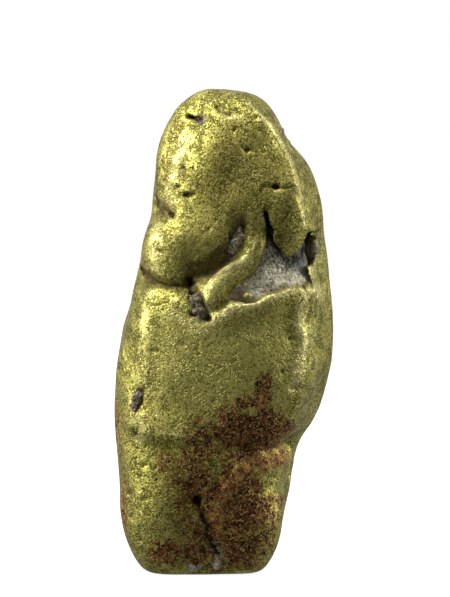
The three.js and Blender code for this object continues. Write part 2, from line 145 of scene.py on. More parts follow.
def rope(place, points, radii):
    """Distance to a rope through the points, as thick as the radii."""
    d = None
    for i, (gap, share, _, _) in enumerate(stretches(place, points)):
        one = gap - (radii[i] + share * (radii[i + 1] - radii[i]))
        d = one if d is None else np.minimum(d, one)
    return d


def outline_distance(x, z, points):
    """Distance to a closed outline in the front view."""
    d = None
    inside = np.zeros(np.broadcast(x, z).shape, bool)
    for (ax, az), (bx, bz) in zip(points, points[1:] + points[:1]):
        ex, ez = bx - ax, bz - az
        share = np.clip(((x - ax) * ex + (z - az) * ez) / (ex * ex + ez * ez), 0, 1)
        one = (x - ax - share * ex) ** 2 + (z - az - share * ez) ** 2
        d = one if d is None else np.minimum(d, one)
        if az != bz:
            inside ^= ((az > z) != (bz > z)) & (x < ax + (z - az) * ex / ez)
    return np.where(inside, -np.sqrt(d), np.sqrt(d))


# The plain body

LOW, HIGH = SECTIONS[0][0], SECTIONS[-1][0]


def height_angle(z):
    """Heights go by an angle, so that both ends of the body close in round domes."""
    return np.arccos(np.clip(1 - 2 * (z - LOW) / (HIGH - LOW), -1, 1))


KNOTS = height_angle(np.array([section[0] for section in SECTIONS]))
REACHES = np.array([section[1:] for section in SECTIONS])
SLOPES = np.gradient(REACHES, KNOTS, axis=0)


def reaches(z):
    """Left, right, front and back reach at a height."""
    angle = height_angle(z)
    i = np.clip(np.searchsorted(KNOTS, angle, side="right") - 1, 0, len(KNOTS) - 2)
    gap = KNOTS[i + 1] - KNOTS[i]
    t = (angle - KNOTS[i]) / gap
    start, start_pull = (1 + 2 * t) * (1 - t) ** 2, t * (1 - t) ** 2 * gap
    end, end_pull = t * t * (3 - 2 * t), t * t * (t - 1) * gap
    return [start * REACHES[i][..., k] + start_pull * SLOPES[i][..., k]
            + end * REACHES[i + 1][..., k] + end_pull * SLOPES[i + 1][..., k] for k in range(4)]


def plain_body(x, y, z):
    left, right, front, back = reaches(z)
    half_width = np.maximum((right - left) / 2, 0.05)
    half_depth = np.maximum((back - front) / 2, 0.05)
    dx, dy = x - (left + right) / 2, y - (front + back) / 2
    total = np.abs(dx / half_width) ** SECTION_POWER + np.abs(dy / half_depth) ** SECTION_POWER
    ratio = total ** (1 / SECTION_POWER)
    scale = np.where(ratio > 0.3, np.hypot(dx, dy) / np.maximum(ratio, 0.3), half_depth)
    body = np.maximum((ratio - 1) * scale, np.maximum(LOW - z, z - HIGH))
    slant = FLANK_SLANT_TOP + (FLANK_SLANT_FOOT - FLANK_SLANT_TOP) * np.clip((25 - z) / 12, 0, 1)
    flank = (x - right - 0.02 - slant * (y - 0.3)) / np.hypot(1, slant)
    return soft_max(body, flank, FLANK_ROUNDING)


def skin_along(inside, axis, sign, lift):
    """Where a line from a point inside leaves the plain body, lifted off its skin."""
    place = list(inside)
    low, high = 0.0, 8.0
    for _ in range(30):
        middle = (low + high) / 2
        place[axis] = sign * middle
        if plain_body(*place) < 0:
            low = middle
        else:
            high = middle
    place[axis] = sign * (low + lift)
    return tuple(place)


def front(x, z, lift=0.0):
    return skin_along((x, 0.0, z), 1, -1, lift)


def back(x, z, lift=0.0):
    return skin_along((x, 0.0, z), 1, 1, lift)


def left_flank(y, z, lift=0.0):
    return skin_along((0.0, y, z), 0, -1, lift)


def right_flank(y, z, lift=0.0):
    return skin_along((0.0, y, z), 0, 1, lift)


def swell(x, y, z):
    return sum(np.sin(a * x + b * y + c * z + phase) for a, b, c, phase in WAVES) / 3


# A solid on a grid of distances, which becomes a mesh

SKIN_REACH = 0.8  # the finished skin is never farther than this from the plain body


class Field:
    """Distances to a surface on a grid, in the drawing's millimetres: negative inside."""

    def __init__(self, low, high, voxel):
        self.low, self.voxel = np.array(low, float), voxel
        counts = np.ceil((np.array(high) - self.low) / voxel).astype(int) + 1
        self.axes = [(self.low[k] + voxel * np.arange(counts[k])).astype(np.float32) for k in range(3)]

    def places(self, low=(-99, -99, -99), high=(99, 99, 99)):
        """The part of the grid between two corners, and its x, y and z."""
        part = []
        for k in range(3):
            count = len(self.axes[k])
            first = int(np.clip(math.floor((low[k] - self.low[k]) / self.voxel), 0, count - 1))
            last = int(np.clip(math.ceil((high[k] - self.low[k]) / self.voxel) + 1, first + 1, count))
            part.append(slice(first, last))
        x, y, z = (self.axes[k][part[k]] for k in range(3))
        return tuple(part), (x[:, None, None], y[None, :, None], z[None, None, :])

    def around(self, points, margin):
        return self.places(np.min(points, 0) - margin, np.max(points, 0) + margin)

    def start_with_body(self):
        _, (x, y, z) = self.places()
        d = plain_body(x, y, z).astype(np.float32)
        slope = np.sqrt(sum(g * g for g in np.gradient(d, self.voxel)))
        self.base = d / np.maximum(slope, 0.5) + SWELL * swell(x, y, z).astype(np.float32)
        self.d = self.base.copy()

    def join(self, points, radii, blend):
        part, place = self.around(points, max(radii) + blend + 0.1)
        self.d[part] = soft_min(self.d[part], rope(place, points, radii), blend)

    def carve(self, points, radii, blend):
        part, place = self.around(points, max(radii) + blend + 0.1)
        self.d[part] = soft_max(self.d[part], -rope(place, points, radii), blend)

    def lobe(self, centre, radii, blend, lean=0.0):
        part, place = self.around([centre], max(radii) + blend)
        self.d[part] = soft_min(self.d[part], ellipsoid(place, centre, radii, lean), blend)

    def pit(self, across, height, radii, lean=0.0, side=front, blend=0.1):
        """An oval dip that follows the skin: radii across, inwards and upwards."""
        centre = side(across, height)
        part, place = self.around([centre], max(radii) + SKIN_REACH)
        level = 0 if side in (front, back) else 1
        spot = (place[level] - across, self.d[part], place[2] - height)
        self.d[part] = soft_max(self.d[part], -ellipsoid(spot, (0, 0, 0), radii, lean), blend)

    def crease(self, points, radius, blend=0.08):
        """A groove that follows the front skin and thins out to both ends."""
        part, place = self.around(on(front, points), radius + SKIN_REACH)
        taper = [0.5 * radius] + [radius] * (len(points) - 2) + [0.5 * radius]
        aside = rope((place[0], np.zeros((1, 1, 1)), place[2]), [(x, 0, z) for x, z in points], taper)
        self.d[part] = soft_max(self.d[part], radius - np.hypot(aside + radius, self.d[part]), blend)

    def fold(self, points, height, above, below):
        """The skin rises by the height along the points, fading over a width above and one below."""
        part, place = self.around(points, max(above, below))
        total = sum(math.dist(a, b) for a, b in zip(points, points[1:]))
        start, best = 0.0, None
        for gap, share, near, run in stretches(place, points):
            length = math.hypot(*run)
            steep = abs(run[2]) > math.hypot(run[0], run[1])
            sideways = (-1 if run[2] > 0 else 1) * (place[0] - near[0])
            over = (sideways if steep else place[2] - near[2]) + 0 * gap
            now = (gap, over, start + share * length)
            best = now if best is None else tuple(np.where(gap < best[0], n, b) for n, b in zip(now, best))
            start += length
        distance, over, along = best
        width = below + (above - below) * smooth_share(0.5 + over / 0.5)
        fade = smooth_share(np.minimum(along, total - along) / (0.22 * total))
        self.d[part] -= height * dome(distance / width) * (0.15 + 0.85 * fade)

    def noise(self, cell, seed):
        """Smooth noise with lumps about a cell across, from about -1 to 1."""
        weights = [spline_weights(self.axes[k], cell, self.low[k]) for k in range(3)]
        shape = [w.shape[1] for w in weights]
        made = np.random.RandomState(seed).uniform(-1, 1, shape).astype(np.float32)
        for w in weights:
            made = np.tensordot(made, w, (0, 1))
        return made * 2.2

    def soft_copy(self, reach):
        """The distances evened out over a reach: below 0 on a hollow's skin, above 0 on a ridge."""
        made = np.clip(self.d, -2 * reach, 2 * reach)
        half = max(int(reach / self.voxel / 2), 1)
        for axis in (0, 1, 2, 0, 1, 2):
            made = running_mean(made, axis, half)
        return made

    def sample(self, values, points):
        """Values of the grid at points, blended between its eight nearest places."""
        cell = (points - self.low) / self.voxel
        first = np.clip(np.floor(cell).astype(int), 0, np.array(values.shape) - 2)
        t = cell - first
        made = 0
        for corner in np.ndindex(2, 2, 2):
            share = np.prod(np.where(corner, t, 1 - t), axis=1)
            i, j, k = (first + corner).T
            made = made + share * values[i, j, k]
        return made

    def mesh(self, name):
        grid = openvdb.FloatGrid()
        grid.background = 1.0
        grid.copyFromArray(np.ascontiguousarray(np.clip(self.d, -1, 1), dtype=np.float32))
        points, triangles, quads = grid.convertToPolygons(isovalue=0.0, adaptivity=0.0)
        faces = [face[::-1] for face in quads.tolist() + triangles.tolist()]
        mesh = bpy.data.meshes.new(name)
        mesh.from_pydata(((points * self.voxel + self.low) * MM).tolist(), [], faces)
        mesh.shade_smooth()
        return mesh


def spline_weights(places, cell, low):
    """Cubic spline weights of lattice points a cell apart, one row for each place."""
    u = (places - low) / cell + 1
    i = np.floor(u).astype(int)
    t = u - i
    weights = np.zeros((len(places), i.max() + 3), np.float32)
    rows = np.arange(len(places))
    weights[rows, i - 1] = (1 - t) ** 3 / 6
    weights[rows, i] = (3 * t**3 - 6 * t**2 + 4) / 6
    weights[rows, i + 1] = (-3 * t**3 + 3 * t**2 + 3 * t + 1) / 6
    weights[rows, i + 2] = t**3 / 6
    return weights


def running_mean(values, axis, half):
    """Mean over half a window on each side along one axis."""
    moved = np.moveaxis(values, axis, 0)
    padded = np.concatenate([moved[:1]] * (half + 1) + [moved] + [moved[-1:]] * half)
    total = np.cumsum(padded, axis=0, dtype=np.float32)
    return np.moveaxis((total[2 * half + 1:] - total[:-2 * half - 1]) / (2 * half + 1), 0, axis)


# The nugget's form

def on(side, points):
    return [side(*point) for point in points]


FINGER = [
    (-0.72, 15.75, -0.42), (-0.64, 16.1, -0.2), (-0.5, 16.6, -0.14), (0, 17.1, -0.2), (0.62, 17.5, -0.26),
    (1.25, 18, -0.28), (1.75, 18.6, -0.26), (2, 19.35, -0.24), (2.05, 20.1, -0.3),
]
FINGER_RADII = (0.24, 0.6, 0.64, 0.56, 0.54, 0.52, 0.43, 0.34, 0.22)
CREST = [
    (-1.08, 16.5, -0.1), (-0.62, 17.12, 0), (-0.05, 17.62, 0.03), (0.5, 17.98, 0.03), (1.02, 18.22, 0),
    (1.6, 18.7, -0.06), (1.95, 19.3, -0.12),
]
CREST_RADII = (0.2, 0.26, 0.26, 0.25, 0.24, 0.22, 0.15)
GROOVE = [
    (-2.2, 17.1), (-1.6, 17.42), (-1.1, 17.52), (-0.52, 17.72), (0, 18.16), (0.5, 18.66), (0.87, 19.2),
    (1, 20.2), (1.05, 20.9),
]
SEAM = [(-2.3, 5.9), (-1.6, 4.5), (-1.25, 3.47), (-0.94, 2.47), (-0.64, 1.62), (-0.4, 0.5), (-0.3, -0.4)]
WAIST = [(-4.75, 17.7), (-4.45, 17.3), (-3.94, 16.95), (-3.03, 16.75), (-2.3, 16.75), (-1.4, 17.1)]
# The sharp edge between the front and the right flank, from the top down.
EDGE = [
    (1.4, 27.25), (1.97, 26.7), (2.59, 26.11), (3.07, 25.37), (3.58, 24.47), (4.03, 23.39), (4.26, 22.55),
    (4.54, 21.13), (4.62, 20.2),
]
EDGE_RISE = 0.28  # how far that edge stands out
FACET_SPARE = 0.05  # how far the facet stays outside the straight line from the edge to the outline
SLANT_MIDDLE = (-2.3, 24.3)  # the slanting face on the dome's left front
SLANT_DEPTH = 0.2  # how much of the round dome it takes away there
SLANT_FACING = (-0.54, -0.77, 0.34)
LIP = [
    (-1.2, 14.5), (-0.4, 15), (0.45, 15.6), (1.3, 15.78), (2.2, 16.08), (3.1, 16.42), (4, 16.66),
    (4.9, 16.68), (5.5, 16.4),
]
CORNER = [(-4.3, 16.4), (-4.42, 14.8), (-4.6, 12.8), (-4.75, 10.8)]  # the left corner of the body
RIDGE = [(4.35, 17.3), (4.75, 16.5), (4.4, 15.6), (4.25, 14.6), (4.6, 13.5), (4.3, 12.3), (4.05, 11)]


# Broad swells of the skin: centre, radii, width of the blend and lean.
LOBES = [
    (front(-2.8, 18.7, -1.65), (1.8, 1.85, 2.5), 0.9, 10), (front(-1, 24, -1.92), (2.3, 2, 3), 0.9, 10),
    (front(3.3, 20.9, -1.6), (1.5, 1.75, 2.4), 0.7, 8), (front(1.5, 3.1, -1.95), (1.88, 2.2, 3.2), 0.7, 4),
    (front(-3.2, 3.9, -2.2), (2.4, 2.25, 4.2), 0.8, -2), (back(-2.9, 13.8, -1.8), (2.2, 2, 2.9), 0.8, -8),
    (back(2.3, 15.3, -1.7), (2.3, 1.9, 2.2), 0.8, 12), (back(0.4, 23.2, -1.7), (2.4, 1.9, 3), 0.9, -6),
    (back(1.2, 5.4, -1.9), (1.9, 2.1, 3.1), 0.8, 6),
]
# Folds: points, how far the skin rises there, and the widths over which that fades above and below.
FRONT_FOLDS = [
    # The waist under the left lobe, and the break above that lobe.
    (WAIST, -0.36, 0.55, 0.9), ([(-4.1, 21.3), (-3.75, 21.1), (-3.1, 20.95), (-2.3, 20.9)], -0.2, 0.7, 0.9),
    # The ledge over the lower left, the ridge beside the right flank, the left corner, edge and lip.
    ([(-5.9, 9.2), (-5.2, 8.75), (-4.4, 8.4), (-3.3, 8.25), (-2.2, 8.2), (-1.2, 8.3)], 0.26, 1.8, 0.8),
    (RIDGE, 0.2, 0.8, 0.8), (CORNER, 0.13, 1, 0.9), (EDGE, EDGE_RISE, 0.6, 2), (LIP, 0.34, 0.5, 1.5),
    # The trough and the fold under it, lower right, then the seam and the groove behind the finger.
    ([(-0.2, 7.5), (1, 7.25), (2.2, 7.3), (3.4, 7.4), (4.2, 7.6)], -0.42, 1.3, 0.7),
    ([(-0.3, 3.9), (0.25, 5.3), (1, 6.25), (2.1, 6.6), (3.4, 6.6), (4.2, 6.3)], 0.3, 0.6, 1.8),
    (SEAM, -0.28, 0.7, 0.7), (GROOVE, -0.6, 0.95, 0.6),
]
FAR_FOLDS = [
    # The waist goes on round the back, with a fold and a seam below it.
    ([left_flank(0.6, 17.7), left_flank(1.8, 18.1)]
     + on(back, [(-3.4, 18.2), (-1.6, 18.6), (0.4, 18.1), (2.2, 18.6), (3.6, 19.4)]), -0.5, 1.1, 1.3),
    (on(back, [(4.6, 13.2), (2.6, 11.4), (0.8, 10.9), (-1, 11.3), (-2.4, 12.4)]), 0.3, 0.8, 1.7),
    (on(back, [(-4.2, 7.4), (-2.4, 5.6), (-1.2, 4.4), (-0.8, 2.8), (-1.1, 0.4)]), -0.5, 0.9, 0.9),
    ([right_flank(0.9, 14.6), right_flank(1.8, 13.9), right_flank(2.8, 13.9)], -0.3, 0.7, 0.7),
]


def cut_flank(nugget):
    """The facet between the sharp edge and the right outline, up to the top."""
    part, (x, y, z) = nugget.places((0.5, -5.2, 19), (6.5, 2, 28))
    heights = [point[1] for point in EDGE[::-1]]
    edge = np.array([front(*point, EDGE_RISE) for point in EDGE[::-1]])
    edge_x, edge_y = (np.interp(z, heights, edge[:, k]) for k in (0, 1))
    _, right, near, far = reaches(z)
    run_x, run_y = right - edge_x, (near + far) / 2 - edge_y
    out = (run_y * (x - edge_x) - run_x * (y - edge_y)) / np.hypot(run_x, run_y)
    spare = FACET_SPARE + 1.5 * smooth_share((heights[0] - z) / 1.2)
    spare = spare + 1.5 * smooth_share((z - heights[-1]) / 0.6)
    nugget.d[part] = soft_max(nugget.d[part], (out - spare).astype(np.float32), 0.1)


def cut_slant(nugget):
    """The slanting face on the dome's left front."""
    part, place = nugget.places((-5.5, -5.5, 20), (3, 1.5, 28.7))
    middle = front(*SLANT_MIDDLE, -SLANT_DEPTH)
    out = sum(SLANT_FACING[k] * (place[k] - middle[k]) for k in range(3))
    nugget.d[part] = soft_max(nugget.d[part], out.astype(np.float32), 0.9)


def hollow_wall(base, x, z):
    """Distance to the outline of the hollow, which climbs on its way in."""
    climb = UNDERCUT * np.maximum(-base, 0)
    return outline_distance(x, z - climb, HOLLOW)


def cut_hollow(nugget):
    part, (x, y, z) = nugget.places((-0.6, -5.2, 15), (6.9, 0.6, 22.2))
    base = nugget.base[part]
    rim = hollow_wall(base, x, z)
    rim = rim + 0.06 * np.sin(3.1 * x + 1.7 * z + 2 * y) + 0.05 * np.sin(5.3 * z - 2.9 * x + 1)
    hollow = np.maximum(rim, np.maximum(-(base + HOLLOW_DEPTH), y - HOLLOW_INNERMOST))
    nugget.d[part] = soft_max(nugget.d[part], -hollow, 0.16)


def add_finger(nugget):
    nugget.join(on(front, FINGER), FINGER_RADII, 0.22)
    nugget.join(on(front, CREST), CREST_RADII, 0.2)
    # The little knob at the quartz's lower end, and what is left of the wall in the notch.
    nugget.lobe(front(1.34, 16.24, -0.08), (0.32, 0.26, 0.28), 0.08)
    nugget.lobe(front(5.18, 18.9, -0.2), (0.32, 0.34, 0.5), 0.1)
    nugget.uncut = np.minimum(nugget.uncut, nugget.d)
    # The dark gap that the finger leaves below it.
    gap = [(-1.9, 17.35), (-1.78, 16.6), (-1.5, 15.8), (-1.1, 15.15)]
    nugget.carve(on(front, gap), (0.18, 0.28, 0.36, 0.26), 0.3)


# Bare pits: place across and up, radii across, inwards and up, lean, side and blend.
PITS = [
    (-1.4, 26.28, (0.3, 0.4, 0.17), 4), (-1.9, 26.42, (0.36, 0.3, 0.12), 8),
    (-4.95, 10.15, (0.28, 0.34, 0.74), 17), (-1.58, 4.5, (0.28, 0.8, 0.27)),
    (-1.82, 16.1, (0.2, 0.3, 0.24), 10), (-1.75, 15.22, (0.26, 0.26, 0.18)),
    (-0.95, 15, (0.3, 0.22, 0.16), 20), (-2.05, 17.05, (0.24, 0.24, 0.15), -30),
    (2.95, 22.47, (0.17, 0.35, 0.17)), (1.33, 24.61, (0.14, 0.16, 0.22), 10),
    (-2.32, 23.51, (0.11, 0.18, 0.15)), (-3.4, 22.75, (0.1, 0.16, 0.14)),
    (-1.95, 22, (0.26, 0.14, 0.1), -8), (-3.01, 20.79, (0.17, 0.25, 0.14)),
    (0.72, 19.5, (0.32, 0.38, 0.7), 18, front, 0.3), (1.2, 7.25, (0.6, 0.25, 0.28)),
    (0.3, 18.75, (0.16, 0.25, 0.32), 30), (1.05, 20.25, (0.15, 0.22, 0.32), 8),
    (0.4, 19.35, (0.12, 0.25, 0.25), -10), (1.1, 18.2, (0.75, 0.6, 0.42), -14, back),
    (-2.9, 9.4, (0.4, 0.5, 0.75), 20, back), (2.6, 21.6, (0.22, 0.25, 0.16), 0, back),
    (-1, 24.6, (0.2, 0.25, 0.24), 0, back), (3, 8.2, (0.3, 0.25, 0.2), 0, back),
    (1.9, 12.2, (0.24, 0.25, 0.5), 0, right_flank), (2, 5.6, (0.3, 0.25, 0.4), 0, left_flank),
]
# Little dark nubs on the right shoulder.
NUBS = [
    (right_flank(-0.5, 25.6, -0.02), (0.17, 0.34, 0.26)),
    (right_flank(-0.1, 24.9, -0.03), (0.16, 0.28, 0.2)),
]
CRACK = [(-1.5, 4.3), (-1.3, 3.6), (-1, 3), (-0.95, 2.4), (-0.75, 1.7), (-0.55, 1.1), (-0.3, 0.45)]
BREAK = [(-4, 21.35), (-3.7, 21), (-3.3, 21.05), (-2.9, 20.8)]  # above the left lobe
# Narrow creases: points and radius.
CREASES = [(WAIST, 0.15), (GROOVE[:7], 0.12), (CRACK, 0.09), (BREAK, 0.15)]
WRINKLE_RADIUS = 0.1
SMALL_PITS = 260
# Fine wrinkles in the skin.
WRINKLES = [
    [(-0.51, 27.24), (-0.46, 26.95), (-0.17, 26.73), (0.27, 26.58), (0.5, 26.5)],
    [(0.64, 27.02), (0.8, 26.8), (0.95, 26.65)], [(-0.46, 26.95), (-0.2, 27.1), (0.1, 27.02)],
    [(2.2, 22.55), (2.95, 22.5), (3.5, 22.42), (3.95, 22.55)], [(2.2, 22.55), (2.05, 22.2)],
    [(-2.35, 22.05), (-1.95, 22), (-1.65, 22.1)], [(-3.95, 21.9), (-3.75, 21.5), (-3.8, 21.2)],
    [(-4.5, 15.9), (-4, 15.7), (-3.3, 15.9)], [(4.3, 17.6), (4.5, 16.9), (4.75, 16.4), (4.85, 15.9)],
    [(4.75, 17.5), (5, 16.9), (5.05, 16.2), (4.85, 15.9)], [(-5.3, 9.4), (-4.9, 8.8), (-5.1, 8.2)],
    [(0.95, 24.9), (1.25, 24.55), (1.6, 24.6)], [(-4.75, 17.75), (-4.5, 17.25), (-4.1, 17)],
    [(-3.7, 17), (-3.2, 16.75), (-2.7, 16.85), (-2.1, 16.75)],
    [(-0.2, 18.2), (0.3, 18.5), (0.5, 18.9), (0.9, 19.2)], [(0.2, 18.9), (0.35, 19.4), (0.3, 19.9)],
    [(2.38, 20.95), (2.3, 21.4)], [(4.75, 19.75), (5.1, 19.85), (5.45, 19.8)], [(4.9, 17.1), (5.1, 16.7)],
    [(-3.6, 21), (-3.3, 20.7), (-3.4, 20.4)], [(-4.6, 11), (-4.75, 10.4), (-4.65, 9.9)],
]
# Dark hairline cracks.
CRACKS = [
    [(-2.1, 17.3), (-1.9, 16.9), (-2, 16.5), (-1.75, 16.2)], [(2.42, 20.8), (2.5, 20.4), (2.52, 20)],
    [(-1.5, 4.3), (-1.28, 3.6), (-1.16, 3.2)],
    [(-1.2, 3.4), (-0.98, 2.9), (-0.9, 2.4), (-0.66, 1.75), (-0.42, 1.3)], [(-0.55, 1.7), (-0.3, 1.9)],
    [(-0.9, 2.4), (-1.1, 2.1)], [(-0.72, 2.1), (-0.55, 1.6), (-0.3, 1.25)],
]


def add_pits(nugget):
    for centre, radii in NUBS:
        nugget.lobe(centre, radii, 0.06)
    for row in PITS:
        nugget.pit(*row)
    for points, radius in CREASES:
        nugget.crease(points, radius)
    for points in WRINKLES + CRACKS:
        nugget.crease(points, WRINKLE_RADIUS)
    rng = np.random.RandomState(11)
    for _ in range(SMALL_PITS):
        z = rng.uniform(0.6, 27.0)
        left, right, near, far = reaches(np.float64(z))
        share, size = rng.uniform(-0.9, 0.9), rng.uniform(0.06, 0.13)
        across = (left + right) / 2 + share * (right - left) / 2
        along = (near + far) / 2 + share * (far - near) / 2
        choices = [(front, across), (back, across), (left_flank, along), (right_flank, along)]
        side, spot = choices[rng.randint(4)]
        nugget.pit(spot, z, size * rng.uniform(0.7, 1.5, 3), rng.uniform(-60, 60), side)


UNEVENNESS = [(0.028, 1.5, 1), (0.009, 0.7, 2), (0.007, 0.34, 3)]  # height, size and seed


def make_nugget_field():
    nugget = Field((-7, -5.6, -0.6), (7, 5.6, 28.8), VOXEL)
    nugget.start_with_body()
    for row in LOBES:
        nugget.lobe(*row)
    for points, *shape in FRONT_FOLDS:
        nugget.fold(on(front, points), *shape)
    for row in FAR_FOLDS:
        nugget.fold(*row)
    cut_flank(nugget)
    cut_slant(nugget)
    nugget.uncut = nugget.d.copy()
    cut_hollow(nugget)
    add_finger(nugget)
    add_pits(nugget)
    _, (_, _, z) = nugget.places()
    calm = 0.55 + 0.45 * smooth_share((z - 6) / 4)
    nugget.d += calm * sum(height * nugget.noise(size, seed) for height, size, seed in UNEVENNESS)
    nugget.d = soft_max(nugget.d, -z + 0 * nugget.d, FOOT_ROUNDING)
    return nugget


# Bright lines, partly worn metal and partly painted highlight: points, width and strength

# The rim under the crevice, clean metal up to its edge, with a painted highlight along it.
RIM = [(0.4, 16), (1, 15.9), (1.8, 16.05), (2.6, 16.4), (3.3, 16.65), (4.8, 16.85)]
WEAR_AND_HIGHLIGHT_LINES = [
    (EDGE, 0.2, 1), ([point[:2] for point in CREST], 0.45, 0.9), (LIP[1:], 0.6, 1), (RIM, 0.3, 0.9),
    ([(-0.62, 16), (-0.5, 16.8)], 0.45, 0.6), ([(-3.9, 20.2), (-4, 18.8), (-3.9, 17.5)], 0.6, 0.6),
    (RIDGE, 0.6, 1), ([(-0.2, 15.3), (0.5, 15.75), (1.3, 15.95), (2, 16.15)], 0.35, 1),
    ([(-3, 15.4), (-2, 14.7), (-0.9, 14.5)], 0.7, 0.45), (CORNER, 0.6, 0.3),
    ([(-5.3, 9), (-4.5, 8.6), (-3.2, 8.35), (-2, 8.3), (-1, 8.35)], 0.18, 0.6),
    ([(-0.15, 26.6), (0.27, 26.42), (0.55, 26.52), (0.8, 26.45)], 0.16, 1),
    ([(5, 17.9), (5, 16.9)], 0.3, 1), ([(-5, 9.2), (-4.6, 8.4), (-4.8, 7.9)], 0.5, 0.7),
    ([(-1.3, 14.3), (-0.6, 14.7)], 0.35, 0.7),
    ([(-0.3, 16.7), (0.3, 17.25), (0.95, 17.75), (1.5, 18.35), (1.8, 19)], 0.5, 0.35),
    ([(-3.35, 20.9), (-3.15, 22), (-2.75, 23.7), (-2.2, 25.1)], 0.6, 0.5),
]

# Colour patches: place across and up, radii across, inwards and up, strength, lean and side

RUST = [
    (1.5, 8.5, (3.1, 1.8, 1.7), 1, 8), (3, 8, (1.6, 2, 1.3), 1, -20),
    (2.2, 10.7, (0.6, 1.2, 1.5), 0.85, 10), (1.4, 10.1, (1, 1.2, 0.5), 0.95, 10),
    (-1.2, 7.8, (1.1, 1.3, 2), 0.66), (-3.4, 6.6, (0.6, 1.2, 0.8), 0.5, 20),
    (-1.5, 5.3, (1.4, 1.2, 1.1), 0.85, 10), (0.2, 4.9, (1, 1.2, 0.8), 1, 25),
    (1.4, 3.7, (1.3, 1.3, 1.2), 0.9), (3, 4, (0.7, 1.4, 0.8), 0.8), (1.6, 3.4, (2.4, 1.8, 3.4), 0.58),
    (-0.5, 3.3, (0.7, 1.2, 1.1), 0.85), (0.7, 1.5, (1.2, 1.3, 0.9), 0.98),
    (-3.25, 1.5, (1.2, 1.2, 0.85), 0.92, -5), (-1.6, 1.3, (0.9, 1.2, 1.1), 0.72),
    (0.4, 3.6, (3.3, 2, 5.2), 0.52), (-1.3, 6.6, (1.5, 1.5, 2.2), 0.62), (-1.8, 4.8, (1.4, 1.5, 3.2), 0.42),
    (1.5, 5.4, (1.3, 1.3, 0.45), 1, 16), (-1, 8.5, (1.2, 1.4, 1.8), 0.48, 0, left_flank),
    (-1.2, 4, (1.2, 1.4, 2.6), 0.45, 0, left_flank), (2.2, 7, (1.8, 1.4, 1.4), 0.62, 20, back),
    (-0.9, 3.4, (1.2, 1.4, 2.2), 0.62, -8, back),
]
BARE = [
    (1.4, 9.65, (0.9, 1, 0.28), 0.9, 8), (-0.5, 6.5, (0.5, 1, 0.6), 0.9), (2.65, 4.9, (0.6, 1, 0.5), 0.9),
    (2.4, 5.8, (0.9, 1, 0.25), 0.6, 30),
]
EMBER_LINE = [(3.5, 6.65), (2.6, 6.75), (1.7, 6.55), (1, 6.2), (0.5, 5.6), (0.15, 4.8)]
EMBER = [(-0.4, 3.5, (0.5, 1, 1), 1), (2.2, 10.4, (0.35, 1, 0.7), 0.8, 10)]
GREY = [
    (1.2, 7.1, (0.85, 0.9, 0.45), 0.9), (-1.5, 3.2, (0.35, 0.9, 0.6), 0.5, -10),
    (-0.5, 1.9, (0.45, 0.9, 1.3), 1, -20), (0.55, 19.3, (0.45, 0.8, 1.3), 1, 22),
    (-1.35, 15.5, (0.6, 0.8, 0.8), 1, -18), (-1.4, 26.3, (0.4, 0.9, 0.3), 1),
    (0.5, 16.1, (0.6, 1.2, 0.35), 0.4, 20), (5.2, 18.8, (0.6, 1.8, 0.9), 0.65),
    (-0.5, 25.6, (0.4, 0.5, 0.36), 1, 0, right_flank), (-0.1, 24.9, (0.4, 0.4, 0.28), 1, 0, right_flank),
]
STAINS = [
    (5.2, 18.8, (0.7, 1.3, 1.2), 0.5), (-3.6, 21.1, (0.9, 1.2, 0.8), 0.75),
    (-4.5, 17, (0.9, 1.2, 0.6), 0.8), (0.1, 18.6, (1.1, 1, 0.8), 0.7, 40), (-1.9, 6.6, (0.9, 1, 0.6), 0.4),
    (1, 20.2, (0.7, 1, 0.9), 0.6, 15), (-1.05, 14.9, (0.9, 1, 0.4), 0.5), (-2, 16.6, (0.5, 1, 0.7), 0.5),
    (1.34, 16.2, (0.3, 1.2, 0.3), 0.6), (0.75, 16.35, (0.35, 1.2, 0.5), 0.7, 40),
]
STAIN_LINES = [(WAIST, 0.5, 0.5), (GROOVE, 0.42, 0.9), (CRACK, 0.35, 0.9)]  # points, width and strength

# Where the skin is duller, and darker with painted shade, and the same along lines: points, width and
# strength.
DULL_AND_SHADE = [
    (-1.7, 18.5, (1.7, 1.6, 2.2), 0.95, 14), (3, 22.3, (1.6, 1.6, 2.8), 0.55, 8),
    (-2.6, 5.2, (1.6, 1.5, 3), 0.45), (-2.2, 2.4, (1.5, 1.5, 2), 0.2), (2.6, 3.2, (2, 1.8, 3), 0.25),
    (-0.2, 20.9, (2.3, 1.6, 1.7), 0.55), (0.6, 23.2, (2, 1.6, 2.4), 0.5), (3.4, 19.4, (0.8, 1.2, 1.2), 0.6),
    (-1.2, 22.6, (1.4, 2.6, 4.2), 0.55, 0, right_flank), (0, 13.5, (1.6, 3, 5), 0.35, 0, right_flank),
]
DULL_AND_SHADE_LINES = [
    ([(2.45, 20.6), (2.3, 19.4), (2.15, 18.5), (1.75, 17.6), (1.25, 16.8)], 0.5, 0.5),
    ([(2, 18.9), (1.5, 17.95), (0.95, 17.25), (0.2, 16.5)], 0.4, 0.12),
    ([(3, 19.6), (3.3, 18.9), (3.7, 18.5), (4.2, 19.1)], 0.6, 0.6),
    ([(2.05, 20.4), (1.95, 19.4), (1.6, 18.7)], 0.6, 0.6),
]
# Where the skin is smooth and even, with little dirt in it.
SATIN = [
    (-0.9, 12.6, (4.6, 2.2, 4), 1), (2.4, 12.8, (2.6, 2.2, 4), 1), (-2.4, 18.6, (2, 1.8, 2.2), 0.5, 10),
    (0.3, 17.2, (2.2, 1.4, 1), 0.8, -38), (-3.6, 2.6, (2.2, 2, 2.6), 0.3),
    (0, 13, (5, 2.4, 6.5), 0.75, 0, back), (0.2, 22.6, (3.4, 2.2, 4), 0.5, 0, back),
    (0, 4, (4, 2.4, 3.5), 0.35, 0, back),
]
NOTCH = [(5.3, 18.85, (0.7, 1.6, 0.8), 1)]  # its wall stays brown where painted black shade fills the rest of the hollow
